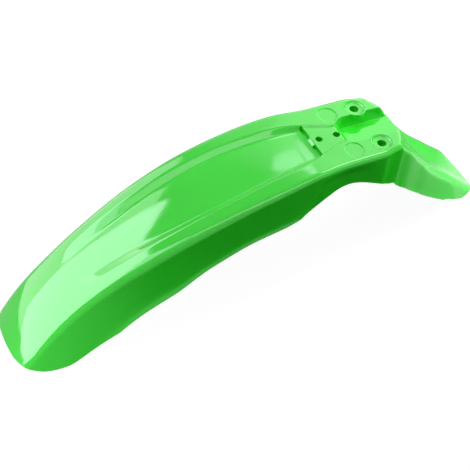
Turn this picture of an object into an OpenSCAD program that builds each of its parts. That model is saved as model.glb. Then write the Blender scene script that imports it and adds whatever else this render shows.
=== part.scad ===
// Motorcycle front mudguard: one injection-moulded shell. Millimetres.
// +X is forward to the nose, +Y is the left side, +Z is up, square to the mounting plateau.
// The origin lies midway between the two main bolt holes, level with the floors of their seats;
// the code below works from the plateau's face, and mudguard() lifts the whole shell onto the seats.
// s is the distance along the centre line from there: forward is positive.

/* [Shell] */
// Thickness of the moulded wall
wall_t = 2.5; // [2:0.1:3.2]
// Half width of the front blade at its widest, outside the shoulders
blade_half = 50; // [47:0.5:54]
// Half width of the mounting plateau at the main bolt holes
plateau_half = 43; // [42:0.5:45]
// Half width of the rear flap between its two ridges
flap_half = 31; // [29:0.5:34]
// Depth of the side skirts under the front blade
skirt_depth = 35; // [31:0.5:39]
// Length along the curve from the main bolt holes to the nose
front_len = 440; // [416:2:464]
// Length along the curve from the main bolt holes to the tail
rear_len = 193; // [181:1:205]
// Slope of the blade at the nose tip, degrees
nose_slope = 60.5; // [54:0.5:66]
// Slope of the rear flap, degrees
flap_slope = 35.5; // [32:0.5:39]
// Depth of the valley down the middle of the rear flap
valley = 4; // [2:0.5:5]

/* [Deck relief] */
// Depth of the long dish in the blade
dish_depth = 6; // [4:0.5:8]
// Half width of the dish at its widest
dish_half = 36; // [33:0.5:38]
// Depth of the flat panel between dish and channel
panel_depth = 1.8; // [1:0.1:2.4]
// Depth of the channel between the main bolt holes
channel_depth = 12.5; // [10:0.5:14]
// Half width of the channel at its top
channel_half = 19.5; // [18.5:0.5:21]

/* [Fixings] */
// Distance between the two main bolt holes
hole_pitch = 54; // [52:0.5:56]
// Radius of the main bolt holes
hole_r = 4.5; // [3.5:0.25:5]
// Radius of the round seat sunk around each main hole
seat_r = 10.3; // [9.5:0.1:11]
// Depth of the round seats
seat_depth = 1.8; // [1.2:0.1:2.4]
// Radius of the bosses under the seats
boss_r = 12; // [11.6:0.1:12.4]
// Length of the sleeves round the main bolts, from the plateau's face
sleeve_len = 13.5; // [11:0.5:14]
// Distance of the blind discs in front of the main holes
disc_ahead = 32; // [30:0.5:33]
// Distance of the nearer small hole in front of the main holes
small_ahead = 36.5; // [36:0.5:37.5]
// Radius of the two small holes on the centre line
small_r = 3.5; // [3:0.25:4]
// Distance between the two small holes
small_pitch = 20; // [18:0.5:21]

/* [Hidden] */
$fn = 96;
green = [0.16, 0.80, 0.13];

fs = (front_len - 76) / 364;
rs = (rear_len - 22) / 171;
bh = blade_half;
fh = flap_half;
ph = plateau_half;
sk = skirt_depth;

nose_s = front_len;
nose_run = 103 * fs;
tail_s = -rear_len;
tail_run = 58 * rs;

// slope of the centre line, degrees, falling forward is positive
slope_k = [[tail_s, -flap_slope], [-22 - 112 * rs, 0.5 - flap_slope], [-22 - 62 * rs, -flap_slope - 13.5],
    [-52, -flap_slope - 25.5], [-33, -flap_slope - 23], [-22, 0], [66, 0], [96, 5], [76 + 50 * fs, 9.5],
    [76 + 110 * fs, 18], [76 + 160 * fs, 24.5], [76 + 200 * fs, 29], [76 + 240 * fs, nose_slope - 26],
    [76 + 280 * fs, nose_slope - 19.5], [76 + 310 * fs, nose_slope - 13], [nose_s, nose_slope]];
// lean of the side walls behind the neck, degrees: it turns more gently than the deck
lean_k = [[tail_s, -flap_slope - 7.5], [-22 - 112 * rs, 1 - flap_slope], [-84, -26.5], [-40, -19.5],
    [0, -12.5], [40, -5], [66, 0]];
// half width at the shoulders
deck_k = [[tail_s, fh + 4.5], [-22 - 112 * rs, fh + 0.5], [-74, fh + 0.5], [-36, ph - 5.5], [-6, ph - 1.5],
    [2, ph], [46, ph], [81, bh - 3.5], [76 + 50 * fs, bh - 0.5], [76 + 110 * fs, bh],
    [76 + 170 * fs, bh - 2.5], [76 + 240 * fs, bh - 8], [76 + 290 * fs, bh - 10], [nose_s, bh - 10]];
// length of the side wall below the shoulder
wall_k = [[tail_s, 16.5], [-22 - 128 * rs, 16.5], [-22 - 92 * rs, 19], [-84, 23.5], [-64, 28.5],
    [-48, 31.5], [-34, 34], [-22, 33.5], [-10, 31], [10, 25.5], [28, 21], [42, 19],
    [56, 20.5], [72, sk - 9.5], [88, sk - 4.5], [106, sk - 1], [126, sk - 0.5], [176, sk - 2.5],
    [76 + 140 * fs, sk - 1], [76 + 190 * fs, sk + 5], [76 + 240 * fs, sk + 6],
    [76 + 290 * fs, sk + 9], [nose_s, sk + 17]];
// steepness of the side wall, degrees from level
steep_k = [[tail_s, 49.5], [-22 - 112 * rs, 57.5], [-74, 65.5], [-24, 71.5], [16, 75.5], [76, 80],
    [126, 81], [76 + 160 * fs, 79], [76 + 240 * fs, 75], [76 + 290 * fs, 71.5], [nose_s, 66.5]];
// drawing back of the nose and tail edges, as a share of the rounded length, across the section
nose_k = [[0, 0], [0.2, 0], [0.4, 0.03], [0.6, 0.07], [0.8, 0.27], [0.92, 0.63], [0.96, 0.79], [0.985, 0.9],
    [1, 0.98]];
tail_k = [[0, 0], [0.25, 0.03], [0.5, 0.15], [0.7, 0.27], [0.85, 0.44], [0.94, 0.7], [1, 0.98]];
// radius of the shoulder
round_k = [[tail_s, 13], [-74, 12], [-22, 7], [76, 6], [126, 8], [236, 11], [416, 13]];
// rise of the deck in its middle, a valley is negative
crown_k = [[tail_s, -1], [-134, 1 - valley], [-84, -valley], [-50, 1 - valley], [-24, 0], [76, 0],
    [126, 1.5], [316, 3], [416, 4]];
// turn of the lip at the wall's lower edge, degrees
flare_k = [[tail_s, 10], [-74, 10], [-22, 4], [76, 6], [126, 25], [266, 25], [396, 10]];
// half width of the sunk part of the deck
sunk_k = [[-60, channel_half], [19, channel_half], [26, channel_half - 2], [32.5, 12.5], [45, 15.5],
    [62, 22], [83, 28.5], [126, dish_half - 2.5], [172, dish_half], [207, dish_half - 0.5],
    [265, dish_half - 4], [316, dish_half - 6.5], [346, dish_half - 9]];
// width of the slope round the sunk part
run_k = [[20, 4.5], [32.5, 2.5], [60, 2.5], [76, 6], [110, 9], [300, 10], [350, 10]];
// depth of the sunk part ahead of the channel
sunk_d = [[32.5, panel_depth], [63.8, panel_depth], [66.4, dish_depth - 1.6], [80, dish_depth + 0.1],
    [126, dish_depth], [266, dish_depth - 1], [310, dish_depth - 3], [352, 0]];

function clamp(v, a, b) = min(max(v, a), b);
function ease(t) = let (u = clamp(t, 0, 1)) u * u * (3 - 2 * u);

// slope at key i of the smooth curve through the keys k
function key_slope(k, i) = (i <= 0 || i >= len(k) - 1) ? 0 :
    let (h0 = k[i][0] - k[i - 1][0], h1 = k[i + 1][0] - k[i][0],
         a = (k[i][1] - k[i - 1][1]) / h0, b = (k[i + 1][1] - k[i][1]) / h1)
    a * b <= 0 ? 0 : 3 * (h0 + h1) / ((2 * h1 + h0) / a + (h1 + 2 * h0) / b);
// smooth curve through [distance, value] keys, level beyond the ends
function curve(k, s) = s <= k[0][0] ? k[0][1] : s >= k[len(k) - 1][0] ? k[len(k) - 1][1] :
    let (i = max([for (j = [0 : len(k) - 2]) if (k[j][0] <= s) j]),
         h = k[i + 1][0] - k[i][0], t = (s - k[i][0]) / h)
    k[i][1] * (1 + 2 * t) * pow(1 - t, 2) + key_slope(k, i) * h * t * pow(1 - t, 2)
    + k[i + 1][1] * t * t * (3 - 2 * t) + key_slope(k, i + 1) * h * t * t * (t - 1);

// the centre line, walked in short steps from the bolt holes
step = 2;
nf = ceil((nose_s + 4) / step);
nr = ceil((4 - tail_s) / step);
fwd = [for (i = 0, x = 0, z = 0; i <= nf; a = curve(slope_k, (i + 0.5) * step),
        x = x + step * cos(a), z = z - step * sin(a), i = i + 1) [i * step, x, z]];
aft = [for (i = 0, x = 0, z = 0; i <= nr; a = curve(slope_k, -(i + 0.5) * step),
        x = x - step * cos(a), z = z + step * sin(a), i = i + 1) [-i * step, x, z]];
line = concat([for (i = [nr : -1 : 1]) aft[i]], fwd);
line_x = [for (p = line) [p[0], p[1]]];
line_z = [for (p = line) [p[0], p[2]]];
// where the channel's floor runs out into the flap
mouth = lookup(-channel_depth, [for (p = aft) [p[2], p[0]]]);

// section at column c, 0 to 7 deck, 8 to 10 shoulder, 11 to 17 side wall:
// [half width, rise of the deck, drop below the deck's edge, share of the deck's width]
sunk_at = [0, 0.5, 0.84, 1];
wall_f = [0, 0.24, 0.46, 0.62, 0.74, 0.84, 0.93, 1];
last = 17;
sunk_f = [for (c = [0 : last]) c < 4 ? 1 : c == 4 ? 0.5 : 0];
bow_f = [for (c = [0 : last]) c < 7 ? [0, 0, 0, 0, 0.5, 1, 0.5][c] : 0];
function section(s, c) = let (
        w = curve(deck_k, s), r = curve(round_k, s), a = curve(steep_k, s), cr = curve(crown_k, s),
        wd = w - 0.6 * r, e = curve(sunk_k, s), q = curve(run_k, s), a0 = atan(2 * cr / wd),
        y = c <= 3 ? (e - q) * sunk_at[c] : c == 4 ? e - q / 2 : c == 5 ? e : c == 6 ? (e + wd) / 2 : wd,
        yd = min(y, wd), n0 = -cr * pow(yd / wd, 2),
        af = a0 + (a - a0) * clamp((c - 7) / 3, 0, 1),
        yf = yd + r * (sin(af) - sin(a0)), nf0 = n0 - r * (cos(a0) - cos(af)),
        t = c > 10 ? wall_f[c - 10] : 0, len = curve(wall_k, s), fl = curve(flare_k, s),
        st = min(t, 0.72) * len, v = clamp((t - 0.72) / 0.28, 0, 1), al = a - fl * v / 2,
        tuck = 1.6 * ease(2.5 * t) * (1 - ease((s - 60 - 36 * t) / 14)) * ease((s - 6) / 30))
    [yf + st * cos(a) + 0.28 * len * v * cos(al) - tuck, n0, nf0 - n0 - st * sin(a) - 0.28 * len * v * sin(al),
     yd / wd];

// point on the outer face at distance s, column c
function face_pt(s0, c) = let (
        s = s0 + 4 * bow_f[c] * exp(-pow((s0 - 68) / 14, 2)),
        q = section(s, c), a = curve(slope_k, s), b = s > 66 ? a : curve(lean_k, s), f = sunk_f[c],
        d = s0 < 32.5 ? 0 : curve(sunk_d, s0) * f,
        x = lookup(s, line_x) + sin(a) * (q[1] - d) + sin(b) * q[2]
            + 10 * pow(q[3], 3) * exp(-pow((s + 30) / 24, 2)),
        z = lookup(s, line_z) + cos(a) * (q[1] - d) + cos(b) * q[2],
        floor_z = s0 > 22 ? -channel_depth + (channel_depth - panel_depth) * (s0 - 22) / 10.5 : -channel_depth)
    [x, q[0], s0 < 32.5 ? z - f * max(0, z - floor_z) : z];

// arc length across the section up to each column, for the rounded ends
function arcs(s) = let (p = [for (c = [0 : last]) let (q = section(s, c)) [q[0], q[1] + q[2]]])
    [for (c = 0, u = 0; c <= last; u = u + (c < last ? norm(p[c + 1] - p[c]) : 0), c = c + 1) u];
s_front = nose_s - nose_run;
s_rear = tail_s + tail_run;
arc_f = arcs(s_front);
arc_r = arcs(s_rear);
nose_c = [for (u = arc_f) nose_s - nose_run * curve(nose_k, u / arc_f[last])];
tail_c = [for (u = arc_r) tail_s + tail_run * curve(tail_k, u / arc_r[last])];

// stations along the part: rounded tail, body, rounded nose
body_s = concat([for (i = [0 : 5]) s_rear + (mouth - 16 - s_rear) * i / 6],
    [mouth - 16, mouth - 10, mouth - 6, mouth - 3, mouth - 0.6, mouth],
    [for (i = [1 : 6]) mouth + 0.6 + (-22.6 - mouth) * i / 6],
    [-18, -13, -7, 0, 8, 15, 22, 26, 29.5, 32.5, 38, 46, 54, 61, 63.8, 65.2, 66.4],
    [69, 73, 78, 84, 92, 101, 112],
    [for (i = [0 : 13]) 124 + (s_front - 124) * i / 13]);
n_end = 9;
rows = concat([for (i = [n_end : -1 : 1]) [for (c = [0 : last]) s_rear + (tail_c[c] - s_rear) * i / n_end]],
    [for (s = body_s) [for (c = [0 : last]) s]],
    [for (i = [1 : n_end + 1]) [for (c = [0 : last]) s_front + (nose_c[c] - s_front) * i / (n_end + 1)]]);
n_row = len(rows);
n_col = 2 * last + 1;

half = [for (r = rows) [for (c = [0 : last]) face_pt(r[c], c)]];
outer = [for (i = [0 : n_row - 1]) [for (j = [0 : n_col - 1])
    let (c = abs(j - last), p = half[i][c]) j < last ? [p[0], -p[1], p[2]] : p]];
function normal(i, j) = let (
        u = outer[min(i + 1, n_row - 1)][j] - outer[max(i - 1, 0)][j],
        v = outer[i][min(j + 1, n_col - 1)] - outer[i][max(j - 1, 0)],
        n = cross(u, v)) n / norm(n);
inner = [for (i = [0 : n_row - 1]) [for (j = [0 : n_col - 1]) outer[i][j] - wall_t * normal(i, j)]];
pts = concat([for (r = outer) for (p = r) p], [for (r = inner) for (p = r) p]);
n_pt = n_row * n_col;
function at(i, j) = i * n_col + j;
faces = concat(
    [for (i = [0 : n_row - 2], j = [0 : n_col - 2]) each j < last ?
        [[at(i, j), at(i, j + 1), at(i + 1, j)], [at(i, j + 1), at(i + 1, j + 1), at(i + 1, j)]] :
        [[at(i, j), at(i, j + 1), at(i + 1, j + 1)], [at(i, j), at(i + 1, j + 1), at(i + 1, j)]]],
    [for (i = [0 : n_row - 2], j = [0 : n_col - 2]) each j < last ?
        [[n_pt + at(i, j), n_pt + at(i + 1, j), n_pt + at(i, j + 1)],
         [n_pt + at(i, j + 1), n_pt + at(i + 1, j), n_pt + at(i + 1, j + 1)]] :
        [[n_pt + at(i, j), n_pt + at(i + 1, j + 1), n_pt + at(i, j + 1)],
         [n_pt + at(i, j), n_pt + at(i + 1, j), n_pt + at(i + 1, j + 1)]]],
    [for (i = [0 : n_row - 2]) each [[at(i, 0), at(i + 1, 0), n_pt + at(i, 0)],
        [at(i + 1, 0), n_pt + at(i + 1, 0), n_pt + at(i, 0)]]],
    [for (i = [0 : n_row - 2]) each [[at(i, n_col - 1), n_pt + at(i, n_col - 1), at(i + 1, n_col - 1)],
        [at(i + 1, n_col - 1), n_pt + at(i, n_col - 1), n_pt + at(i + 1, n_col - 1)]]],
    [for (j = [0 : n_col - 2]) each [[at(0, j), n_pt + at(0, j), at(0, j + 1)],
        [at(0, j + 1), n_pt + at(0, j), n_pt + at(0, j + 1)]]],
    [for (j = [0 : n_col - 2]) each [[at(n_row - 1, j), at(n_row - 1, j + 1), n_pt + at(n_row - 1, j)],
        [at(n_row - 1, j + 1), n_pt + at(n_row - 1, j + 1), n_pt + at(n_row - 1, j)]]]);

// two blind notches make the step from panel to dish steep on either side of the middle
notch_x = 65.3;
notch_w = 3.4;
notch_in = 4.5;
notch_out = 22.5;
notch_floor = -panel_depth - 5.5;

module shell() {
    polyhedron(points = pts, faces = faces, convexity = 12);
}

module boss(y) {
    translate([0, y, -6.5]) cylinder(r = boss_r, h = 6.65);
    translate([0, y, -sleeve_len]) cylinder(r = hole_r + wall_t, h = sleeve_len - 3);
}

module seat(y) {
    // sunk seat with a sloped edge, and the bolt hole down through the sleeve
    translate([0, y, -seat_depth]) cylinder(r1 = seat_r - 1.6, r2 = seat_r + 0.4, h = seat_depth + 0.4);
    translate([0, y, -20]) cylinder(r = hole_r, h = 30);
}

// block along a notch: from a to b ahead of its line
module strip(side, a, b, over, z0, z1) {
    y0 = notch_in - over;
    y1 = notch_out + over;
    translate([notch_x + a, side > 0 ? y0 : -y1, z0]) cube([b - a, y1 - y0, z1 - z0]);
}

// backing under a notch, so that its wall and floor keep their thickness
module backing(side) {
    strip(side, -4.2, -1.1, 2.5, notch_floor - wall_t, -panel_depth - 1.2);
    strip(side, -4.2, 4.2, 2.5, notch_floor - wall_t, -panel_depth - 3.6);
}

module mudguard() {
    color(green) translate([0, 0, seat_depth]) difference() {
        union() {
            shell();
            boss(-hole_pitch / 2);
            boss(hole_pitch / 2);
            for (x = [small_ahead, small_ahead + small_pitch])
                translate([x, 0, -12]) cylinder(r = small_r + wall_t, h = 9);
            backing(-1);
            backing(1);
        }
        seat(-hole_pitch / 2);
        seat(hole_pitch / 2);
        for (y = [-hole_pitch / 2, hole_pitch / 2])
            translate([disc_ahead, y, -0.8]) cylinder(r = seat_r, h = 3);
        for (x = [small_ahead, small_ahead + small_pitch])
            translate([x, 0, -13]) cylinder(r = small_r, h = 16);
        strip(-1, -notch_w / 2, notch_w / 2, 0, notch_floor, 4);
        strip(1, -notch_w / 2, notch_w / 2, 0, notch_floor, 4);
    }
}

mudguard();
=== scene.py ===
"""Motorcycle front mudguard in glossy green plastic, on a plain pale floor."""
import math

import bmesh
import bpy
from mathutils import Matrix, Vector


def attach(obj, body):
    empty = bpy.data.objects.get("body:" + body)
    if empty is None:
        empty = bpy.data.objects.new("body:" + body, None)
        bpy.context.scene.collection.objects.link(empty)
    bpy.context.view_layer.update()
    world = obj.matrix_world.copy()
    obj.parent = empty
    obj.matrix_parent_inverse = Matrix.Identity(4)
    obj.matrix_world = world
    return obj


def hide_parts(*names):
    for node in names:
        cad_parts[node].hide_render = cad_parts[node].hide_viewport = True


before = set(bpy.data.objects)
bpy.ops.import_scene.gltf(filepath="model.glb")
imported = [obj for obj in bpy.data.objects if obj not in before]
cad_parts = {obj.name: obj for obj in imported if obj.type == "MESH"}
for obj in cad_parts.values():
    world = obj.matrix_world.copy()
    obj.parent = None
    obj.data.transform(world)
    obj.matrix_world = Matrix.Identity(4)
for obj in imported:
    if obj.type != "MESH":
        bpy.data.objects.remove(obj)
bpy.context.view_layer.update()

# sizes in millimetres; heights are counted from the plateau's face
MM = 0.001
WALL = 2.5
RIM_ROUND = 0.6
SEAT_DEPTH, SEAT_R = 1.8, 10.3
PANEL = 1.8
DISH = 6.0
CHANNEL, CHANNEL_HALF = 12.5, 19.5
HOLE_Y, HOLE_R = 27.0, 4.5
BOSS_R, BOSS_LOW, SLEEVE_LOW = 12.0, -6.5, -13.5
DISC_X, DISC_DEPTH = 32.0, 0.8
SMALL_X, SMALL_R, SPIGOT_LOW = (36.5, 56.5), 3.5, -12.0
NOTCH_X, NOTCH_Y0, NOTCH_Y1, NOTCH_FLOOR = 65.3, 4.5, 22.5, -7.3
CUT_LOW = -20

# places along the centre line, counted from the bolt holes
NOSE_S, NOSE_RUN = 440.0, 103.0
TAIL_S, TAIL_RUN = -193.0, 58.0
RAMP_S, PANEL_S, PLATEAU_S = 22, 32.5, 66
LINE_AHEAD, LINE_BEHIND = 442, 200

# keys: place along the centre line, then the value there
SLOPE = ((-193, -35.5), (-134, -35), (-84, -49), (-52, -61), (-33, -58.5), (-22, 0), (66, 0), (96, 5),
         (126, 9.5), (186, 18), (236, 24.5), (276, 29), (316, 34.5), (356, 41), (386, 47.5), (440, 60.5))
LEAN = ((-193, -43), (-134, -34.5), (-84, -26.5), (-40, -19.5), (0, -12.5), (40, -5), (66, 0))
HALF = ((-193, 35.5), (-134, 31.5), (-74, 31.5), (-36, 37.5), (-6, 41.5), (2, 43), (46, 43), (81, 46.5),
        (126, 49.5), (186, 50), (246, 47.5), (316, 42), (366, 40), (440, 40))
SKIRT = ((-193, 16.5), (-150, 16.5), (-114, 19), (-84, 23.5), (-64, 28.5), (-48, 31.5), (-34, 34),
         (-22, 33.5), (-10, 31), (10, 25.5), (28, 21), (42, 19), (56, 20.5), (72, 25.5), (88, 30.5),
         (106, 34), (126, 34.5), (176, 32.5), (216, 34), (266, 40), (316, 41), (366, 44), (440, 52))
STEEP = ((-193, 49.5), (-134, 57.5), (-74, 65.5), (-24, 71.5), (16, 75.5), (76, 80), (126, 81),
         (236, 79), (316, 75), (366, 71.5), (440, 66.5))
ROUND = ((-193, 13), (-74, 12), (-22, 7), (76, 6), (126, 8), (236, 11), (416, 13))
CROWN = ((-193, -1), (-134, -3), (-84, -4), (-50, -3), (-24, 0), (76, 0), (126, 1.5), (316, 3), (416, 4))
FLARE = ((-193, 10), (-74, 10), (-22, 4), (76, 6), (126, 25), (266, 25), (396, 10))
SUNK = ((-60, CHANNEL_HALF), (19, CHANNEL_HALF), (26, 17.5), (PANEL_S, 12.5), (45, 15.5), (62, 22),
        (83, 28.5), (126, 33.5), (172, 36), (207, 35.5), (265, 32), (316, 29.5), (346, 27))
RUN = ((20, 4.5), (PANEL_S, 2.5), (60, 2.5), (76, 6), (110, 9), (230, 10), (350, 15))
DEPTH = ((PANEL_S, PANEL), (63.8, PANEL), (66.4, 4.4), (80, DISH + 0.1), (126, DISH), (266, 4.8),
         (310, 2.6), (352, 0))

# keys: share of the way across the end section, then how far the edge is drawn back there
NOSE_BACK = ((0, 0), (0.2, 0), (0.4, 0.03), (0.6, 0.07), (0.8, 0.27), (0.92, 0.63), (0.96, 0.79),
             (0.985, 0.9), (1, 0.98))
TAIL_BACK = ((0, 0), (0.25, 0.03), (0.5, 0.15), (0.7, 0.27), (0.85, 0.44), (0.94, 0.7), (1, 0.98))


def ease(t):
    u = min(max(t, 0.0), 1.0)
    return u * u * (3 - 2 * u)


def bell(s, middle, width):
    return math.exp(-((s - middle) / width) ** 2)


def ramp(t, w=0.22):
    """From 0 to 1 in a straight slope, rounded over the share w at each end."""
    t = min(max(t, 0.0), 1.0)
    if t > 0.5:
        return 1 - ramp(1 - t, w)
    return t * t / (2 * w * (1 - w)) if t < w else (t - w / 2) / (1 - w)


def curve(keys, s):
    """Smooth curve through the keys, level beyond the ends."""
    if s <= keys[0][0]:
        return keys[0][1]
    if s >= keys[-1][0]:
        return keys[-1][1]
    i = max(j for j in range(len(keys) - 1) if keys[j][0] <= s)

    def rate(j):
        if j <= 0 or j >= len(keys) - 1:
            return 0.0
        h0, h1 = keys[j][0] - keys[j - 1][0], keys[j + 1][0] - keys[j][0]
        a, b = (keys[j][1] - keys[j - 1][1]) / h0, (keys[j + 1][1] - keys[j][1]) / h1
        return 0.0 if a * b <= 0 else 3 * (h0 + h1) / ((2 * h1 + h0) / a + (h1 + 2 * h0) / b)

    h = keys[i + 1][0] - keys[i][0]
    t = (s - keys[i][0]) / h
    return (keys[i][1] * (1 + 2 * t) * (1 - t) ** 2 + rate(i) * h * t * (1 - t) ** 2
            + keys[i + 1][1] * t * t * (3 - 2 * t) + rate(i + 1) * h * t * t * (t - 1))


class Table:
    """A curve sampled every millimetre, smoothed a little, read by linear steps."""

    FIRST, LAST = -200, 440

    def __init__(self, keys, soft):
        raw = [curve(keys, s) for s in range(self.FIRST - soft, self.LAST + soft + 1)]
        n = 2 * soft + 1
        w = [1 + math.cos(math.pi * (k - soft) / (soft + 1)) for k in range(n)]
        total = sum(w)
        self.v = [sum(raw[i + k] * w[k] for k in range(n)) / total
                  for i in range(self.LAST - self.FIRST + 1)]

    def __call__(self, s):
        f = min(max(s - self.FIRST, 0.0), len(self.v) - 1.001)
        i = int(f)
        return self.v[i] + (self.v[i + 1] - self.v[i]) * (f - i)


slope, lean, half, skirt = Table(SLOPE, 2), Table(LEAN, 6), Table(HALF, 6), Table(SKIRT, 6)
steep, rounding, crown = Table(STEEP, 6), Table(ROUND, 6), Table(CROWN, 6)
flare, sunk, run, depth = Table(FLARE, 6), Table(SUNK, 1), Table(RUN, 1), Table(DEPTH, 1)


def walk(step=0.5):
    """The centre line, walked in short steps both ways from the bolt holes."""
    pts = {0: (0.0, 0.0)}
    for way, reach in ((1, LINE_AHEAD), (-1, LINE_BEHIND)):
        x = z = 0.0
        for i in range(int(reach / step)):
            a = math.radians(slope(way * (i + 0.5) * step))
            x, z = x + way * step * math.cos(a), z - way * step * math.sin(a)
            pts[way * (i + 1)] = (x, z)
    return step, pts


LINE_STEP, LINE = walk()


def on_line(s):
    f = s / LINE_STEP
    i = math.floor(f)
    a, b = LINE[i], LINE[i + 1]
    return a[0] + (b[0] - a[0]) * (f - i), a[1] + (b[1] - a[1]) * (f - i)


# share of the shoulder's radius that lies inside the half width, and the shares of the side
# wall above its flared lip and in the lip
SHOULDER_IN = 0.6
LIP_FROM, LIP = 0.72, 0.28
# how far the side wall is drawn in by the plateau, how far the step into the dish bows forward,
# and how far the neck's edges lie ahead of its middle
TUCK, BOW, NECK_SWEEP = 1.6, 4, 10


def section(s, c):
    """Half section at s: distance out, fall by the crown, height below the deck, share across it.

    c runs across: 0 to 1 sunk part, 1 to 2 its slope, 2 to 3 rest of the deck, 3 to 4 shoulder,
    4 to 5 side wall.
    """
    w, r, a, high = half(s), rounding(s), math.radians(steep(s)), crown(s)
    deck, edge, slant = w - SHOULDER_IN * r, sunk(s), run(s)
    if c <= 1:
        y = (edge - slant) * c
    elif c <= 2:
        y = edge - slant + slant * (c - 1)
    else:
        y = edge + (deck - edge) * min(c - 2, 1)
    y = min(y, deck)
    share = y / deck
    fall = -high * share ** 2
    a0 = math.atan(2 * high / deck)
    turned = a0 + (a - a0) * min(max(c - 3, 0), 1)
    out = y + r * (math.sin(turned) - math.sin(a0))
    drop = -r * (math.cos(a0) - math.cos(turned))
    t = min(max(c - 4, 0), 1)
    length = skirt(s)
    plain, v = min(t, LIP_FROM) * length, min(max((t - LIP_FROM) / LIP, 0), 1)
    lip_a = a - math.radians(flare(s)) * v / 2
    tuck = TUCK * ease(2.5 * t) * (1 - ease((s - 60 - 36 * t) / 14)) * ease((s - 6) / 30)
    return (out + plain * math.cos(a) + LIP * length * v * math.cos(lip_a) - tuck, fall,
            drop - plain * math.sin(a) - LIP * length * v * math.sin(lip_a), share)


def bow(c):
    """Share of the forward bow at c, none on the centre line and on the shoulder."""
    return ease(c - 0.95) * ease((3.1 - c) / 1.4) if 0.95 < c < 3.1 else 0.0


def face(s0, c):
    """Point on the outer face, in millimetres from the plateau's face."""
    s = s0 + BOW * bow(c) * bell(s0, 68, 14)
    y, fall, drop, share = section(s, c)
    a = math.radians(slope(s))
    b = a if s > PLATEAU_S else math.radians(lean(s))
    inside = 1.0 if c <= 1 else 1 - ramp(c - 1) if c < 2 else 0.0
    d = depth(s0) * inside if s0 >= PANEL_S else 0.0
    lx, lz = on_line(s)
    x = (lx + math.sin(a) * (fall - d) + math.sin(b) * drop
         + NECK_SWEEP * share ** 3 * bell(s, -30, 24))
    z = lz + math.cos(a) * (fall - d) + math.cos(b) * drop
    if s0 < PANEL_S:
        bed = -CHANNEL + (CHANNEL - PANEL) * max(0.0, s0 - RAMP_S) / (PANEL_S - RAMP_S)
        z -= inside * max(0.0, z - bed)
    return x, y, z


def spread(keys, count):
    """Values running through the key places, each span cut into its own count."""
    out = [keys[0]]
    for (a, b), n in zip(zip(keys, keys[1:]), count):
        out += [a + (b - a) * (k + 1) / n for k in range(n)]
    return out


# columns across the half section, and rows along the part, closest on the neck and the plateau
COLS = spread((0, 1, 2, 3, 4, 4.8, 5), (8, 10, 9, 8, 13, 8))
FRONT_S, REAR_S = NOSE_S - NOSE_RUN, TAIL_S + TAIL_RUN
BODY = spread((REAR_S, -64, -48, -18, 74, 130, FRONT_S), (30, 8, 20, 92, 36, 82))
END_ROWS = 34


def arc_shares(s):
    """How far along the half section's arc each column lies, from 0 to 1."""
    pts = [section(s, c) for c in COLS]
    u = [0.0]
    for p, q in zip(pts, pts[1:]):
        u.append(u[-1] + math.hypot(q[0] - p[0], q[1] + q[2] - p[1] - p[2]))
    return [v / u[-1] for v in u]


def end_row(s, reach, i):
    return [s + (t - s) * i / END_ROWS for t in reach]


nose_to = [NOSE_S - NOSE_RUN * curve(NOSE_BACK, u) for u in arc_shares(FRONT_S)]
tail_to = [TAIL_S + TAIL_RUN * curve(TAIL_BACK, u) for u in arc_shares(REAR_S)]
rows = ([end_row(REAR_S, tail_to, i) for i in range(END_ROWS, 0, -1)]
        + [[s] * len(COLS) for s in BODY]
        + [end_row(FRONT_S, nose_to, i) for i in range(1, END_ROWS + 1)])


def add_object(name, data):
    ob = bpy.data.objects.new(name, data)
    bpy.context.scene.collection.objects.link(ob)
    return ob


def mesh_object(name, bm):
    me = bpy.data.meshes.new(name)
    bm.to_mesh(me)
    bm.free()
    return add_object(name, me)


def closed_object(name, bm):
    """A tool for cutting or joining, its points merged and its faces turned outward."""
    bmesh.ops.remove_doubles(bm, verts=bm.verts, dist=0.0005)
    bmesh.ops.recalc_face_normals(bm, faces=bm.faces)
    return mesh_object(name, bm)


def lathe(bm, profile, x, y, steps=96):
    """A solid turned round an upright axis from a profile of radius and height."""
    verts = [bm.verts.new((x + r, y, z)) for r, z in profile]
    edges = [bm.edges.new(p) for p in zip(verts, verts[1:])]
    bmesh.ops.spin(bm, geom=verts + edges, cent=(x, y, 0), axis=(0, 0, 1), angle=math.tau,
                   steps=steps, use_merge=True)


def strip(bm, side, a, b, over, z0, z1, n=24):
    """A block along a notch, from a to b ahead of its line, its ends rounded."""
    y0, y1 = NOTCH_Y0 - over, NOTCH_Y1 + over
    mid, wide = (a + b) / 2, (b - a) / 2
    ring = []
    for k in range(n + 1):
        y = y0 + (y1 - y0) * (1 - math.cos(math.pi * k / n)) / 2
        w = wide * (1 - abs(2 * (y - y0) / (y1 - y0) - 1) ** 8) ** 0.5
        ring.append((NOTCH_X + mid, side * y, w))
    loop = [(x - w, y) for x, y, w in ring] + [(x + w, y) for x, y, w in reversed(ring[1:-1])]
    base = bm.faces.new([bm.verts.new((x, y, z0)) for x, y in loop])
    up = bmesh.ops.extrude_face_region(bm, geom=[base], use_keep_orig=True)
    bmesh.ops.translate(bm, verts=[g for g in up["geom"] if isinstance(g, bmesh.types.BMVert)],
                        vec=(0, 0, z1 - z0))


def settle(ob):
    """Makes the modifiers' result the object's own mesh."""
    deps = bpy.context.evaluated_depsgraph_get()
    me = bpy.data.meshes.new_from_object(ob.evaluated_get(deps))
    ob.modifiers.clear()
    ob.data = me


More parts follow.
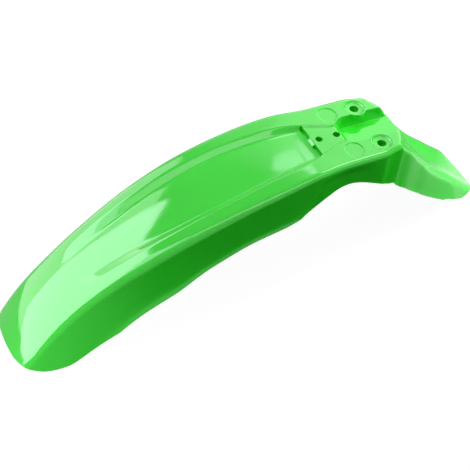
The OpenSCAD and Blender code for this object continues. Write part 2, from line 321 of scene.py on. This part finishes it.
# the moulded sheet: a grid laid over rows and columns
n_col = 2 * len(COLS) - 1
last = len(COLS) - 1
bm = bmesh.new()
bmesh.ops.create_grid(bm, x_segments=len(rows) - 1, y_segments=n_col - 1, size=1.0)
half_pts = [[face(s, COLS[c]) for c, s in enumerate(row)] for row in rows]
grid = [[None] * n_col for _ in rows]
for v in bm.verts:
    i = round((v.co.x + 1) / 2 * (len(rows) - 1))
    j = round((v.co.y + 1) / 2 * (n_col - 1))
    x, y, z = half_pts[i][abs(j - last)]
    v.co = (x, y if j >= last else -y, z)
    grid[i][j] = v
bm.normal_update()

# its wall: each point of the inner face lies straight in from the outer one, along a normal
# that is evened out over the tight bends
EVEN_OUT = 14
normal = [[v.normal.copy() for v in row] for row in grid]
for _ in range(EVEN_OUT):
    below = [normal[0]] + normal[:-1]
    above = normal[1:] + [normal[-1]]
    normal = [[(2 * row[j] + lo[j] + hi[j] + row[max(j - 1, 0)] + row[min(j + 1, n_col - 1)]).normalized()
               for j in range(n_col)] for lo, row, hi in zip(below, normal, above)]
inward = {}
for i, row in enumerate(grid):
    for j, v in enumerate(row):
        inward[tuple(round(k, 4) for k in v.co)] = normal[i][j]
outer_faces = list(bm.faces)
made = bmesh.ops.extrude_face_region(bm, geom=outer_faces, use_keep_orig=True)
outer = {v for f in outer_faces for v in f.verts}
for v in made["geom"]:
    if isinstance(v, bmesh.types.BMVert) and v not in outer:
        v.co -= WALL * inward[tuple(round(k, 4) for k in v.co)]

# its rim, rounded on both sides
bmesh.ops.recalc_face_normals(bm, faces=bm.faces)
sides = [f for f in bm.faces if len({v in outer for v in f.verts}) == 2]
rim = list({e for f in sides for e in f.edges if len({v in outer for v in e.verts}) == 1})
bmesh.ops.bevel(bm, geom=rim, offset=RIM_ROUND, offset_type="OFFSET", segments=3, profile=0.5,
                affect="EDGES", clamp_overlap=True, material=-1)
shell = mesh_object("mudguard_shell", bm)

# bosses and sleeves under the bolt seats, spigots under the small holes
bm = bmesh.new()
sleeve_r, spigot_r = HOLE_R + WALL, SMALL_R + WALL
for side in (-1, 1):
    lathe(bm, ((0, 0.15), (BOSS_R - 0.4, 0.15), (BOSS_R - 0.1, 0.05), (BOSS_R, -0.2),
               (BOSS_R, BOSS_LOW + 0.8), (BOSS_R - 0.25, BOSS_LOW + 0.25), (BOSS_R - 0.8, BOSS_LOW),
               (sleeve_r + 0.4, BOSS_LOW), (sleeve_r, BOSS_LOW - 0.4), (sleeve_r, SLEEVE_LOW + 0.4),
               (sleeve_r - 0.1, SLEEVE_LOW + 0.1), (sleeve_r - 0.4, SLEEVE_LOW), (0, SLEEVE_LOW)),
          0, side * HOLE_Y)
for x in SMALL_X:
    lathe(bm, ((0, -3), (spigot_r, -3), (spigot_r, SPIGOT_LOW + 0.4), (spigot_r - 0.1, SPIGOT_LOW + 0.1),
               (spigot_r - 0.4, SPIGOT_LOW), (0, SPIGOT_LOW)), x, 0)
bosses = closed_object("bosses", bm)

# walls behind the notches and backing under them
bm = bmesh.new()
for side in (-1, 1):
    strip(bm, side, -4.2, -1.1, 2.3, NOTCH_FLOOR - 1, -3)
rear_walls = closed_object("rear_walls", bm)
bm = bmesh.new()
for side in (-1, 1):
    strip(bm, side, -4.25, 4.2, 2.4, NOTCH_FLOOR - WALL, -5.4)
backing = closed_object("backing", bm)

# what is taken out: seats and bolt holes, blind discs, small holes, notches
bm = bmesh.new()
for side in (-1, 1):
    lathe(bm, ((0, CUT_LOW), (HOLE_R + 0.3, CUT_LOW), (HOLE_R + 0.3, SLEEVE_LOW + 0.1),
               (HOLE_R, SLEEVE_LOW + 0.4), (HOLE_R, -2.4), (HOLE_R + 0.15, -2.05),
               (HOLE_R + 0.6, -SEAT_DEPTH), (SEAT_R - 2.4, -SEAT_DEPTH), (SEAT_R - 1.9, -1.74),
               (SEAT_R - 1.4, -1.5), (SEAT_R - 0.5, -0.5), (SEAT_R - 0.1, -0.15), (SEAT_R + 0.5, 0.12),
               (SEAT_R + 2, 0.6), (SEAT_R + 2, 4), (0, 4)), 0, side * HOLE_Y)
    lathe(bm, ((0, -DISC_DEPTH), (SEAT_R - 1.3, -DISC_DEPTH), (SEAT_R - 0.9, -0.74),
               (SEAT_R - 0.3, -0.3), (SEAT_R, -0.06), (SEAT_R + 0.5, 0.1), (SEAT_R + 2, 0.4),
               (SEAT_R + 2, 3), (0, 3)), DISC_X, side * HOLE_Y)
for x in SMALL_X:
    lathe(bm, ((0, SPIGOT_LOW), (SMALL_R, SPIGOT_LOW), (SMALL_R, -PANEL - 0.5),
               (SMALL_R + 0.15, -PANEL - 0.15), (SMALL_R + 0.6, -PANEL + 0.05),
               (SMALL_R + 1.6, -PANEL + 0.5), (SMALL_R + 1.6, 3), (0, 3)), x, 0)
for side in (-1, 1):
    strip(bm, side, -1.7, 1.7, 0, NOTCH_FLOOR, 4)
cutters = closed_object("cutters", bm)

for name, tool, op in (("bosses", bosses, "UNION"), ("rear_walls", rear_walls, "UNION"),
                       ("backing", backing, "UNION"), ("cuts", cutters, "DIFFERENCE")):
    mod = shell.modifiers.new(name, "BOOLEAN")
    mod.operation = op
    mod.solver = "EXACT"
    mod.object = tool
settle(shell)
for tool in (bosses, rear_walls, backing, cutters):
    bpy.data.objects.remove(tool)

# to metres from the seats' floors, with shading broken only at sharp edges
SHARP = math.radians(32)
shell.data.transform(Matrix.Diagonal((MM, MM, MM, 1)) @ Matrix.Translation((0, 0, SEAT_DEPTH)))
bm = bmesh.new()
bm.from_mesh(shell.data)
bmesh.ops.remove_doubles(bm, verts=bm.verts, dist=0.000002)
for f in bm.faces:
    f.smooth = True
for e in bm.edges:
    e.smooth = len(e.link_faces) == 2 and e.calc_face_angle(0) < SHARP
bm.to_mesh(shell.data)
bm.free()
weighted = shell.modifiers.new("level_normals", "WEIGHTED_NORMAL")
weighted.keep_sharp = True
weighted.mode = "FACE_AREA"
weighted.weight = 50
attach(shell, "root")
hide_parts("mudguard")

# materials
WHITE = (1, 1, 1, 1)
COOL = (0.88, 0.96, 1.0, 1)


def add_node(tree, kind, **sockets):
    n = tree.nodes.new(kind)
    for key, value in sockets.items():
        n.inputs[key.replace("_", " ")].default_value = value
    return n


def ranged(tree, source, lo, hi, a=0.35, b=0.65):
    """Carries a value between a and b, where noise mostly lies, to the range from lo to hi."""
    n = add_node(tree, "ShaderNodeMapRange", From_Min=a, From_Max=b, To_Min=lo, To_Max=hi)
    tree.links.new(source, n.inputs["Value"])
    return n.outputs["Result"]


def glossy_green():
    """Bright green plastic straight from a polished mould: faint orange peel, slight clouding."""
    mat = bpy.data.materials.new("gloss_green_plastic")
    mat.use_nodes = True
    tree = mat.node_tree
    link = tree.links.new
    bsdf = tree.nodes["Principled BSDF"]
    coord = tree.nodes.new("ShaderNodeTexCoord").outputs["Object"]
    cloud = add_node(tree, "ShaderNodeTexNoise", Scale=9.0, Detail=2.0, Roughness=0.5)
    peel = add_node(tree, "ShaderNodeTexNoise", Scale=420.0, Detail=2.0, Roughness=0.45)
    sink = add_node(tree, "ShaderNodeTexNoise", Scale=28.0, Detail=1.0, Roughness=0.4)
    scuff = add_node(tree, "ShaderNodeTexNoise", Scale=140.0, Detail=6.0, Roughness=0.65)
    for n in (cloud, peel, sink, scuff):
        link(coord, n.inputs["Vector"])
    tint = add_node(tree, "ShaderNodeMix")
    tint.data_type = "RGBA"
    tint.inputs["A"].default_value = (0.022, 0.640, 0.018, 1)
    tint.inputs["B"].default_value = (0.030, 0.700, 0.026, 1)
    link(ranged(tree, cloud.outputs["Fac"], 0.0, 1.0), tint.inputs["Factor"])
    link(tint.outputs["Result"], bsdf.inputs["Base Color"])
    link(ranged(tree, scuff.outputs["Fac"], 0.05, 0.10), bsdf.inputs["Roughness"])
    bsdf.inputs["IOR"].default_value = 1.5
    wave = add_node(tree, "ShaderNodeBump", Strength=0.30, Distance=0.0005)
    fine = add_node(tree, "ShaderNodeBump", Strength=0.25, Distance=0.00004)
    link(sink.outputs["Fac"], wave.inputs["Height"])
    link(peel.outputs["Fac"], fine.inputs["Height"])
    link(wave.outputs["Normal"], fine.inputs["Normal"])
    link(fine.outputs["Normal"], bsdf.inputs["Normal"])
    return mat


def bare_material(name):
    """A material with nothing but its output."""
    mat = bpy.data.materials.new(name)
    mat.use_nodes = True
    mat.node_tree.nodes.remove(mat.node_tree.nodes["Principled BSDF"])
    return mat


def math_node(tree, operation, source, other):
    """Joins two sockets, or a socket and a number."""
    n = tree.nodes.new("ShaderNodeMath")
    n.operation = operation
    tree.links.new(source, n.inputs[0])
    if isinstance(other, float):
        n.inputs[1].default_value = other
    else:
        tree.links.new(other, n.inputs[1])
    return n.outputs["Value"]


def pale_floor():
    """Matt floor that takes the shadow, with a glow that is seen but lights nothing."""
    mat = bare_material("pale_floor")
    tree = mat.node_tree
    link = tree.links.new
    matt = add_node(tree, "ShaderNodeBsdfDiffuse", Color=(0.15, 0.15, 0.15, 1), Roughness=0.5)
    glow = add_node(tree, "ShaderNodeEmission", Color=WHITE, Strength=1.0)
    ray = tree.nodes.new("ShaderNodeLightPath").outputs
    seen = math_node(tree, "MAXIMUM", ray["Is Camera Ray"], ray["Is Glossy Ray"])
    seen = math_node(tree, "MAXIMUM", seen, ray["Is Transmission Ray"])
    link(math_node(tree, "MULTIPLY", seen, FLOOR_GLOW), glow.inputs["Strength"])
    both = tree.nodes.new("ShaderNodeAddShader")
    link(matt.outputs["BSDF"], both.inputs[0])
    link(glow.outputs["Emission"], both.inputs[1])
    link(both.outputs["Shader"], tree.nodes["Material Output"].inputs["Surface"])
    return mat


shell.data.materials.clear()
shell.data.materials.append(glossy_green())

# floor: touches the nose and the tail as the part lies on a table
TILT = math.radians(7)
FLOOR_HALF, FLOOR_GLOW = 6.0, 0.95
floor_turn = Matrix.Rotation(TILT, 4, "Y")
floor_z = min((Matrix.Rotation(-TILT, 3, "Y") @ v.co).z for v in shell.data.vertices)
bm = bmesh.new()
bmesh.ops.create_grid(bm, x_segments=1, y_segments=1, size=FLOOR_HALF)
bmesh.ops.transform(bm, matrix=floor_turn @ Matrix.Translation((0, 0, floor_z)), verts=bm.verts)
floor = mesh_object("floor", bm)
floor.data.materials.append(pale_floor())

# camera at the photograph's angle
SENSOR_MM, FOCAL_PIXELS, PHOTO_PIXELS = 36.0, 1151.98, 470
CAM_AZ, CAM_EL, CAM_ROLL = 63.92, 50.3444, -0.7132
CAM_FAR, CAM_RIGHT, CAM_UP = 1.141515, -0.005646, -0.035175
CAM_FROM = Vector((0.13671, 0.0, -0.05526))


def camera_axes(az, el, roll, tilt):
    """The camera's right, up and back directions above a floor tilted about Y."""
    az, el, roll = (math.radians(a) for a in (az, el, roll))
    turn = Matrix.Rotation(tilt, 3, "Y")
    back = turn @ Vector((math.cos(el) * math.cos(az), math.cos(el) * math.sin(az), math.sin(el)))
    right = (turn @ Vector((0, 0, 1))).cross(back).normalized()
    up = back.cross(right)
    return (math.cos(roll) * right + math.sin(roll) * up, math.cos(roll) * up - math.sin(roll) * right, back)


right, up, back = camera_axes(CAM_AZ, CAM_EL, CAM_ROLL, TILT)
place = CAM_FROM + back * CAM_FAR + right * CAM_RIGHT + up * CAM_UP
cam_data = bpy.data.cameras.new("camera")
cam_data.sensor_width = SENSOR_MM
cam_data.lens = FOCAL_PIXELS / PHOTO_PIXELS * SENSOR_MM
cam_data.clip_end = 50
camera = add_object("camera", cam_data)
camera.matrix_world = Matrix([(*axes, at) for axes, at in zip(zip(right, up, back), place)] + [(0, 0, 0, 1)])
bpy.context.scene.camera = camera


# panels
def card(name, corners, colour, strength, fade=None):
    """A flat panel that is only seen mirrored in the gloss.

    fade is (axis or centre, from, to, low): the panel goes from low at "from" to its full strength
    at "to", measured along the axis or away from the centre.
    """
    mat = bare_material(name)
    tree = mat.node_tree
    glow = add_node(tree, "ShaderNodeEmission", Color=colour, Strength=strength)
    tree.links.new(glow.outputs["Emission"], tree.nodes["Material Output"].inputs["Surface"])
    if fade:
        way, start, stop, faint = fade
        where = tree.nodes.new("ShaderNodeTexCoord").outputs["Object"]
        if isinstance(way, str):
            part = tree.nodes.new("ShaderNodeSeparateXYZ")
            reach = part.outputs[way]
        else:
            part = tree.nodes.new("ShaderNodeVectorMath")
            part.operation = "DISTANCE"
            part.inputs[1].default_value = way
            reach = part.outputs["Value"]
        tree.links.new(where, part.inputs[0])
        tree.links.new(ranged(tree, reach, faint, strength, start, stop), glow.inputs["Strength"])
    bm = bmesh.new()
    bm.faces.new([bm.verts.new(c) for c in corners])
    ob = mesh_object(name, bm)
    ob.data.materials.append(mat)
    ob.visible_camera = ob.visible_diffuse = ob.visible_shadow = ob.visible_transmission = False


def upright(bearing, far, x0, points):
    """Points on an upright plane that faces (x0, 0) from far away, each given across and high."""
    c, s = math.cos(math.radians(bearing)), math.sin(math.radians(bearing))
    return [(x0 + far * c - s * w, far * s + c * w, h) for w, h in points]


def on_front(*points):
    return upright(-25, 1.0, 0.2, points)


def on_back(*points):
    return upright(-134, 1.35, 0.0, points)


def patch(az, el, far=1.2):
    """Four corners between two bearings and two heights in degrees, seen from above the plateau."""
    corners = [(az[0], el[0]), (az[0], el[1]), (az[1], el[1]), (az[1], el[0])]
    turned = [(math.radians(a), math.radians(e)) for a, e in corners]
    return [(0.05 + far * math.cos(e) * math.cos(a), far * math.cos(e) * math.sin(a), far * math.sin(e))
            for a, e in turned]


def on_floor(lift, *points):
    """Points on the floor, lifted a little off it."""
    return [floor_turn @ Vector((x, y, floor_z + lift)) for x, y in points]


def level_at(z, *points):
    return [(x, y, z) for x, y in points]


card("front_panel", on_front((-0.15, -0.1), (-0.95, 1.39), (-0.42, 1.14), (1.3, 1.14), (1.3, -0.3),
                             (0.2, -0.3)), COOL, 9.5)
card("ridge_panel", on_front((-0.12, 1.14), (1.3, 1.14), (1.1, 1.9), (0.75, 2.45), (0.45, 2.45),
                             (0.26, 1.7)), COOL, 6.0)
card("haze_panel", patch((-80, -22), (-8, 38), 2.6), WHITE, 4.4)
card("flank_panel", level_at(1.5, (1.2, 0.25), (0.75, 0.36), (0.4, 0.62), (0.15, 0.78), (-0.15, 0.95),
                             (-0.15, 1.45), (0.3, 1.25), (0.65, 1.0), (1.0, 0.75), (1.4, 0.5)), WHITE, 3.6)
card("side_panel", level_at(1.0, (-0.24, -0.80), (-0.13, -0.70), (-0.42, -0.70), (-0.48, -0.86)), COOL, 6.0)
card("rim_panel", patch((82, 150), (42, 58)), WHITE, 4.0)
# painted dark reflection: a sheet on the floor's near side, seen only in the gloss, black beside the part
# and fading up toward the nose, so that the near side walls mirror darkness instead of the floor's white
# glow
card("dark_reflection_card", on_floor(0.004, (-0.22, 0.02), (0.46, 0.02), (0.46, 1.6), (-1.6, 1.6), (-1.4, 0.5)),
     WHITE, 1.1, fade=("X", 0.24, 0.46, 0.0))
card("rear_floor_near", on_floor(0.008, (-0.10, 0.07), (-0.10, 0.24), (-1.5, 0.24), (-1.5, 0.07)),
     WHITE, 1.3, fade=("Y", 0.165, 0.05, 0.0))
card("rear_floor_far", on_floor(0.008, (-0.10, -0.5), (-0.10, 0.07), (-1.5, 0.07), (-1.5, -0.5)),
     WHITE, 2.0, fade=("Y", -0.04, 0.06, 0.35))
card("rear_rim_panel", patch((-165, -125), (14, 31)), WHITE, 4.0)
card("edge_panel", patch((-176, -142), (50, 62)), WHITE, 8.0)
card("back_panel", on_back((-1.9, 0.05), (1.9, 0.05), (1.9, 2.9), (-1.9, 2.9)), WHITE, 1.0,
     fade=(on_back((0.0, 1.0))[0], 0.0, 1.75, 3.3))


# lamps
def softbox(name, at, to, size, watts):
    """A soft lamp that lights the part and isn't mirrored in it."""
    lamp = bpy.data.lights.new(name, "AREA")
    lamp.shape = "RECTANGLE"
    lamp.size, lamp.size_y = size
    lamp.energy = watts
    ob = add_object(name, lamp)
    at, to = Vector(at), Vector(to)
    ob.matrix_world = Matrix.Translation(at) @ (to - at).to_track_quat("-Z", "Y").to_matrix().to_4x4()
    ob.visible_glossy = False


softbox("front_softbox", (0.78, 0.0, 0.06), (0.25, 0, -0.08), (0.3, 0.25), 0.9)
softbox("nose_softbox", (0.53, 0.26, -0.1), (0.33, 0.04, -0.13), (0.2, 0.2), 0.5)
softbox("top_softbox", (0.12, -0.24, 1.15), (0.12, 0, 0), (1.4, 1.0), 13.4)
softbox("rear_softbox", (-0.95, 0.12, 0.26), (-0.08, 0, -0.05), (0.5, 0.5), 10.5)

# surroundings: white to the eye and in the gloss, dim as a light
DIM = 0.10
world = bpy.data.worlds.new("studio")
bpy.context.scene.world = world
world.use_nodes = True
wt = world.node_tree
sky = wt.nodes["Background"]
sky.inputs["Color"].default_value = WHITE
path = wt.nodes.new("ShaderNodeLightPath")
share = add_node(wt, "ShaderNodeMapRange", To_Min=1.0, To_Max=DIM)
wt.links.new(path.outputs["Is Diffuse Ray"], share.inputs["Value"])
wt.links.new(share.outputs["Result"], sky.inputs["Strength"])

view = bpy.context.scene.view_settings
view.view_transform = "Standard"
